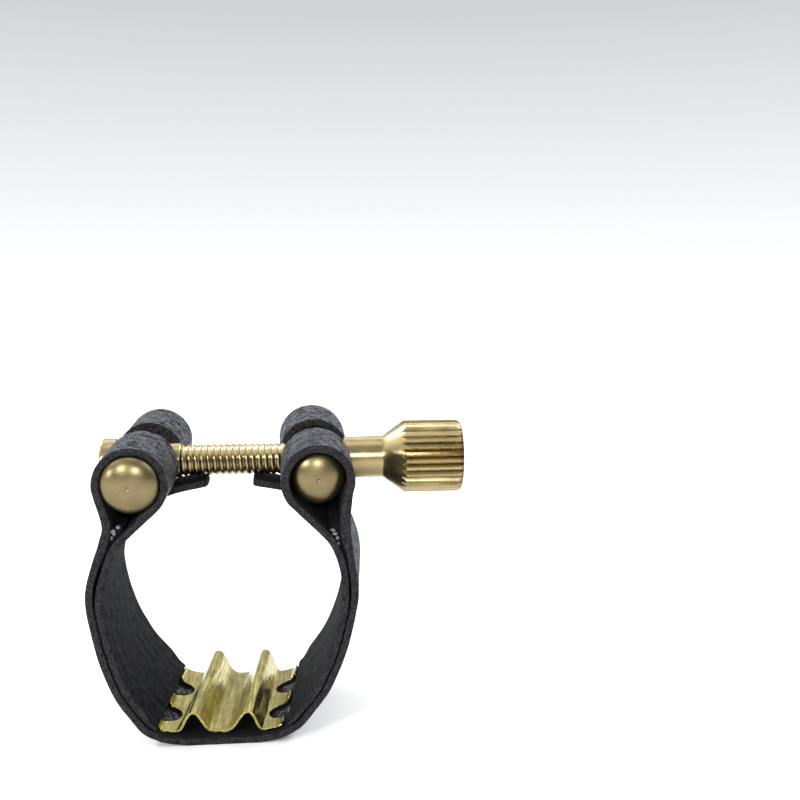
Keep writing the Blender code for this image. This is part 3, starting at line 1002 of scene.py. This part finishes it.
def turned_brass(name, colours, roughness, anisotropy, painted_reflection_from=None):
    """Satin brass with fine grooves round the piece's own Z axis.

    Given the last argument, a height in millimetres, the metal is painted a darker brown from there on, a
    painted reflection of something dark beside the knob's end, and the knurl's grooves and the narrower end
    beyond them are painted darker, a painted shade.
    """
    g = material(name)
    at = g.millimetres()
    radius = g.length(g.scaled(at, (1.0, 1.0, 0.0)))
    height = g.axis(at, "Z")
    groove_at = g.add("CombineXYZ", {"X": g.maths("MULTIPLY", radius, 5.0),
                                     "Y": g.maths("MULTIPLY", height, 5.0)})
    groove = g.noise(groove_at.outputs[0], 1.6, 3.0, 0.6)
    tarnish = g.noise(at, 0.45, 4.0, 0.6)
    fine = g.noise(at, 5.0, 3.0, 0.6)
    tone = g.maths("ADD", g.ramp(tarnish, 0.3, 0.7, 0.0, 0.65), g.ramp(fine, 0.3, 0.7, 0.0, 0.35))
    colour = g.mix(tone, *colours)
    if painted_reflection_from:
        # painted reflection: darker brown from the given height on, over the knob's end
        colour = g.mix(g.ramp(height, painted_reflection_from - 0.35, painted_reflection_from, 0.0, 0.85), colour, PAINTED_DARK_REFLECTION)
        # painted shade: darker in the knurl's grooves and on everything narrower beyond the knurl's start
        groove_shade = g.maths("MULTIPLY", g.ramp(radius, KNOB_R - TOOTH, KNOB_R - 0.2, 0.75, 0.0),
                       g.ramp(height, KNURL_START - 0.25, KNURL_START + 0.1))
        colour = g.mix(groove_shade, colour, GROOVE_SHADE)
    g.set(Base_Color=colour, Metallic=1.0, Roughness=g.ramp(tarnish, 0.3, 0.7, roughness, roughness + 0.1),
          Normal=g.bump(groove, 0.004, 0.6, g.bump(fine, 0.002, 0.5)))
    g.shader.inputs["Anisotropic"].default_value = anisotropy
    g.shader.inputs["Anisotropic Rotation"].default_value = 0.25
    g.set(Tangent=g.add("Tangent", direction_type="RADIAL", axis="Z").outputs["Tangent"])
    return g.owner


def sheet_brass():
    """Bright pressed sheet, with drawing marks along the ridges."""
    g = material("sheet_brass")
    at = g.millimetres()
    along = g.scaled(at, (1.0, 0.03, 1.0))
    drawn = g.noise(along, 3.2, 4.0, 0.65)
    broad = g.noise(along, 0.9, 2.0, 0.5)
    patch = g.noise(at, 0.5, 3.0, 0.6)
    fine = g.noise(at, 6.0, 2.0, 0.5)
    tone = g.maths("ADD", g.ramp(patch, 0.35, 0.65, 0.0, 0.35), g.ramp(drawn, 0.35, 0.65, 0.0, 0.65))
    g.set(Base_Color=g.mix(tone, *GILT), Metallic=1.0,
          Roughness=g.ramp(drawn, 0.3, 0.7, 0.1, 0.2),
          Normal=g.bump(broad, 0.25, 1.0, g.bump(drawn, 0.06, 0.8, g.bump(fine, 0.008, 0.5))))
    return g.owner


def dried_glue():
    """Cloudy pale beads."""
    g = material("dried_glue")
    at = g.add("TexCoord").outputs["Object"]
    cloud = g.noise(at, 3500.0, 3.0)
    g.set(Base_Color=g.mix(cloud, *DRIED), Roughness=g.ramp(cloud, 0.3, 0.7, 0.25, 0.6),
          Normal=g.bump(cloud, 0.03))
    return g.owner


# ---------------------------------------------------------------- studio

def floor():
    """Pale floor with painted shade: a little greyer towards the camera."""
    g = material("floor")
    at = g.add("TexCoord").outputs["Object"]
    # painted shade: the floor turns greyer towards the camera
    pale = g.ramp(g.axis(at, "Y"), -0.3, -0.08)
    cloud = g.noise(at, 9.0, 2.0)
    tone = g.maths("MULTIPLY", pale, g.ramp(cloud, 0.2, 0.8, 0.93, 1.0))
    g.set(Base_Color=g.mix(tone, *FLOOR_AND_SHADE), Roughness=0.9)
    g.shader.inputs["Specular IOR Level"].default_value = 0.1
    obj = rings_object("floor", [circle(radius, 0) for radius in (0, 300, 900, 2500)], g.owner)
    obj.location.z = -0.00002


def backdrop():
    """Pale surroundings: dimmer behind the camera, bright in a band halfway up and overhead."""
    world = bpy.data.worlds.new("studio")
    bpy.context.scene.world = world
    g = Graph(world, "Background")
    direction = g.add("TexCoord").outputs["Generated"]
    front = g.ramp(g.axis(direction, "Y"), -0.75, -0.05, 0.12, 1.0)
    height = g.add("ValToRGB", {"Fac": g.axis(direction, "Z")})
    stops = height.color_ramp.elements
    for at, _ in WORLD_LEVELS[1:-1]:
        stops.new(at)
    for stop, (_, level) in zip(stops, WORLD_LEVELS):
        stop.color = (level, level, level, 1.0)
    level = g.maths("MULTIPLY", front, height.outputs["Color"])
    g.set(Strength=g.maths("MULTIPLY", level, WORLD_STRENGTH), Color=BACKDROP)


def lamps():
    """Soft round lamps that point at the object."""
    for name, place, size, power in LAMPS:
        light = bpy.data.lights.new(name, "AREA")
        light.shape = "DISK"
        light.size = size
        light.energy = power
        lamp = added(name, light)
        lamp.location = place
        lamp.rotation_euler = (Vector(LAMP_AIM) - Vector(place)).to_track_quat("-Z", "Y").to_euler()


def camera():
    """The photograph's viewing angle."""
    lens = bpy.data.cameras.new("camera")
    lens.sensor_width = 36.0
    lens.lens = FOCAL_LENGTH
    lens.clip_start = 0.005
    view = added("camera", lens)
    view.location = CAMERA_PLACE
    view.rotation_euler = [radians(angle) for angle in CAMERA_TURN]
    bpy.context.scene.camera = view
    bpy.context.scene.view_settings.view_transform = "Standard"


# ---------------------------------------------------------------- assembly

def build():
    floor()
    backdrop()
    lamps()
    camera()
    leather = [leather_grain(), leather_flesh(), leather_edge()]
    brass = turned_brass("barrel_brass", BARREL_BRASS, 0.28, 0.2)
    screw_brass = turned_brass("screw_brass", SCREW_BRASS, 0.24, 0.3, KNURL_END + 0.45)
    nap = notch_leather()
    glue = dried_glue()

    for side, shape in ((-1, (LEFT_BULGE, LEFT_NECK, LEFT_LINING_TOP)),
                        (1, (RIGHT_BULGE, RIGHT_NECK, RIGHT_LINING_TOP))):
        arm = SIDE[side]
        strap = strap_half(side, *shape, leather)
        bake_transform(strap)
        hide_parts("strap_base", f"strap_{arm}_outer", f"strap_{arm}_inner", f"tongue_{arm}")
        fibres = notch_fibres(side, nap)
        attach(fibres, "base")

    for side, (wedge, beads) in ((-1, LEFT_SEAM), (1, RIGHT_SEAM)):
        for piece in (glue_fillet(side, wedge, leather[1]), glue_flecks(side, beads, glue)):
            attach(piece, SIDE[side] + "_arm")

    sheet = plate(sheet_brass())
    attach(sheet, "base")
    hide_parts("pressure_plate")

    for name, side, span in (("threaded_barrel", -1, LEFT_SPAN), ("plain_barrel", 1, RIGHT_SPAN)):
        pin = barrel(name + "_turned", side, span, brass)
        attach(pin, name)
        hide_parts(name)

    boss = collar(screw_brass)
    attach(boss, "threaded_barrel")

    screw = thumbscrew(screw_brass)
    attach(screw, "screw")
    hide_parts("thumbscrew")
    ring = end_stop(screw_brass)
    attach(ring, "screw")
    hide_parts("screw_end_stop")


build()
